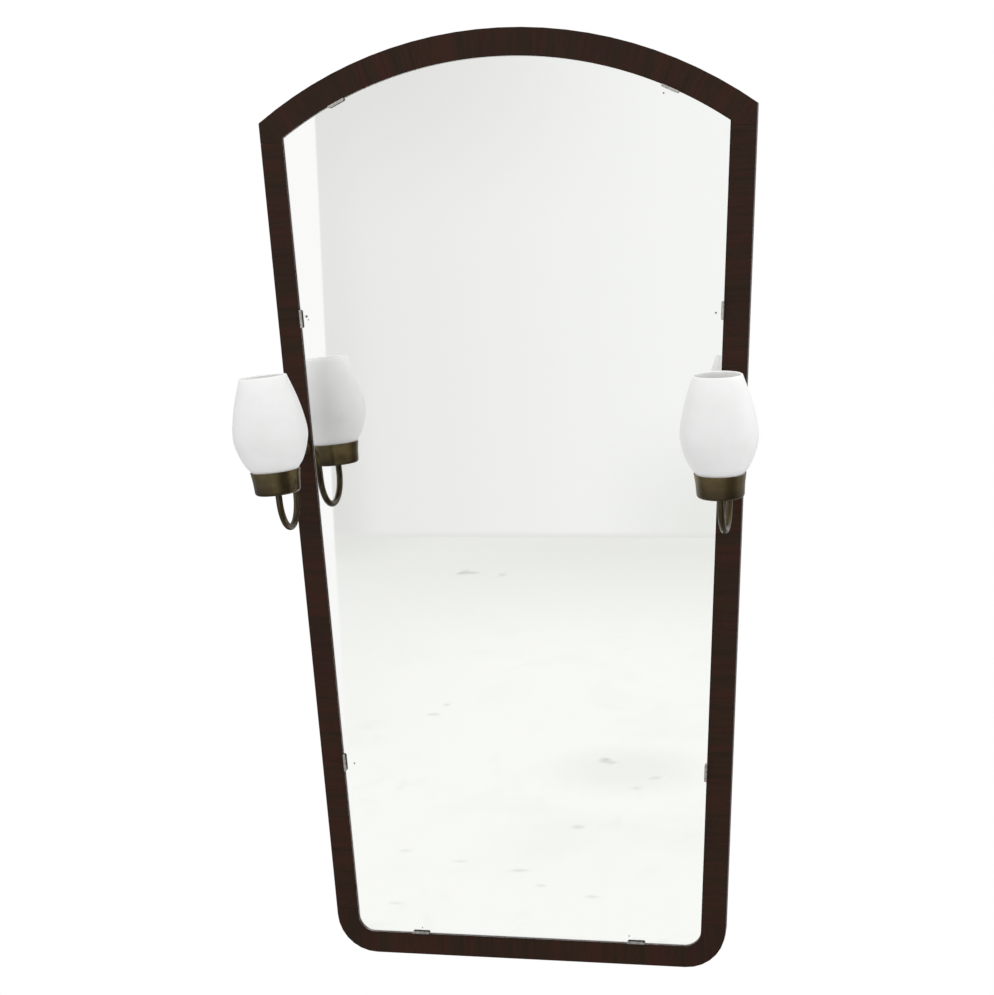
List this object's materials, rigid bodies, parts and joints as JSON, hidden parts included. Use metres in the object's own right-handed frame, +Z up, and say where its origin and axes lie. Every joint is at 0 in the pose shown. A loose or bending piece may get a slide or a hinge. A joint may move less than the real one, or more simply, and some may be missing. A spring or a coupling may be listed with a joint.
{
  "type": "wall mirror with sconces",
  "caption": "Tall arched wall mirror in a dark tapering wooden frame, with an opal-shaded lamp on a brass swan-neck arm at each side.",
  "frame": {"origin": "on the wall plane, in the middle of the upper rail's rear face", "axes": "+Z up along the mirror's height, +X to the viewer's right when facing the mirror, +Y into the wall; the mirror faces -Y"},
  "size_m": [0.7765, 0.245, 1.45],
  "materials": {
    "veneer": "dark cross-banded veneer, worn satin polish",
    "plywood": "plain plywood, unfinished",
    "silvered_glass": "clear plate glass, silvered at the back",
    "clip_steel": "nickel-plated sheet steel, slightly dull",
    "screw_steel": "plain steel",
    "aged_brass": "dark olive-brown patina, worn bright on the edges",
    "opal_glass": "opal white, glossy",
    "bulb_glass": "frosted",
    "bakelite": "satin black-brown"
  },
  "bodies": {
    "mirror": {"back_panel": "plywood", "bottom_rail": "veneer", "clip_bottom_left": "clip_steel", "clip_bottom_right": "clip_steel", "clip_lower_left": "clip_steel", "clip_lower_right": "clip_steel", "clip_screw_bottom_left": "screw_steel", "clip_screw_bottom_right": "screw_steel", "clip_screw_lower_left": "screw_steel", "clip_screw_lower_right": "screw_steel", "clip_screw_top_left": "screw_steel", "clip_screw_top_right": "screw_steel", "clip_screw_upper_left": "screw_steel", "clip_screw_upper_right": "screw_steel", "clip_top_left": "clip_steel", "clip_top_right": "clip_steel", "clip_upper_left": "clip_steel", "clip_upper_right": "clip_steel", "hanger_left": "screw_steel", "hanger_right": "screw_steel", "hanger_screw_left_lower": "screw_steel", "hanger_screw_left_upper": "screw_steel", "hanger_screw_right_lower": "screw_steel", "hanger_screw_right_upper": "screw_steel", "left_stile": "veneer", "mirror_glass": "silvered_glass", "panel_screw_bottom": "screw_steel", "panel_screw_left_1": "screw_steel", "panel_screw_left_2": "screw_steel", "panel_screw_right_1": "screw_steel", "panel_screw_right_2": "screw_steel", "panel_screw_top": "screw_steel", "right_stile": "veneer", "rosette_left": "aged_brass", "rosette_right": "aged_brass", "terminal_block": "bakelite", "terminal_screw": "screw_steel", "top_rail": "veneer"},
    "sconce_left": {"arm_left": "aged_brass", "collar_left": "aged_brass", "washer_left": "screw_steel", "nut_left": "aged_brass", "cup_left": "aged_brass", "cup_nut_left": "aged_brass", "lampholder_left": "bakelite"},
    "bulb_left": {"bulb_left": "bulb_glass", "bulb_cap_left": "clip_steel"},
    "shade_left": {"shade_left": "opal_glass"},
    "sconce_right": {"arm_right": "aged_brass", "collar_right": "aged_brass", "washer_right": "screw_steel", "nut_right": "aged_brass", "cup_right": "aged_brass", "cup_nut_right": "aged_brass", "lampholder_right": "bakelite"},
    "bulb_right": {"bulb_right": "bulb_glass", "bulb_cap_right": "clip_steel"},
    "shade_right": {"shade_right": "opal_glass"}
  },
  "joints": [
    {"name": "sconce_turn_left", "type": "hinge", "parent": "mirror", "child": "sconce_left", "pos_m": [-0.33188, -0.025, -0.5977], "axis": [0, 1, 0], "range_deg": [-20, 20]},
    {"name": "shade_lift_left", "type": "slide", "parent": "sconce_left", "child": "shade_left", "axis": [-0.0814, -0.014, 0.9966], "range_m": [0, 0.13]},
    {"name": "bulb_out_left", "type": "slide", "parent": "sconce_left", "child": "bulb_left", "axis": [-0.0814, -0.014, 0.9966], "range_m": [0, 0.15]},
    {"name": "sconce_turn_right", "type": "hinge", "parent": "mirror", "child": "sconce_right", "pos_m": [0.33682, -0.025, -0.6008], "axis": [0, 1, 0], "range_deg": [-20, 20]},
    {"name": "shade_lift_right", "type": "slide", "parent": "sconce_right", "child": "shade_right", "axis": [-0.0023, -0.061, 0.9981], "range_m": [0, 0.13]},
    {"name": "bulb_out_right", "type": "slide", "parent": "sconce_right", "child": "bulb_right", "axis": [-0.0023, -0.061, 0.9981], "range_m": [0, 0.15]}
  ]
}
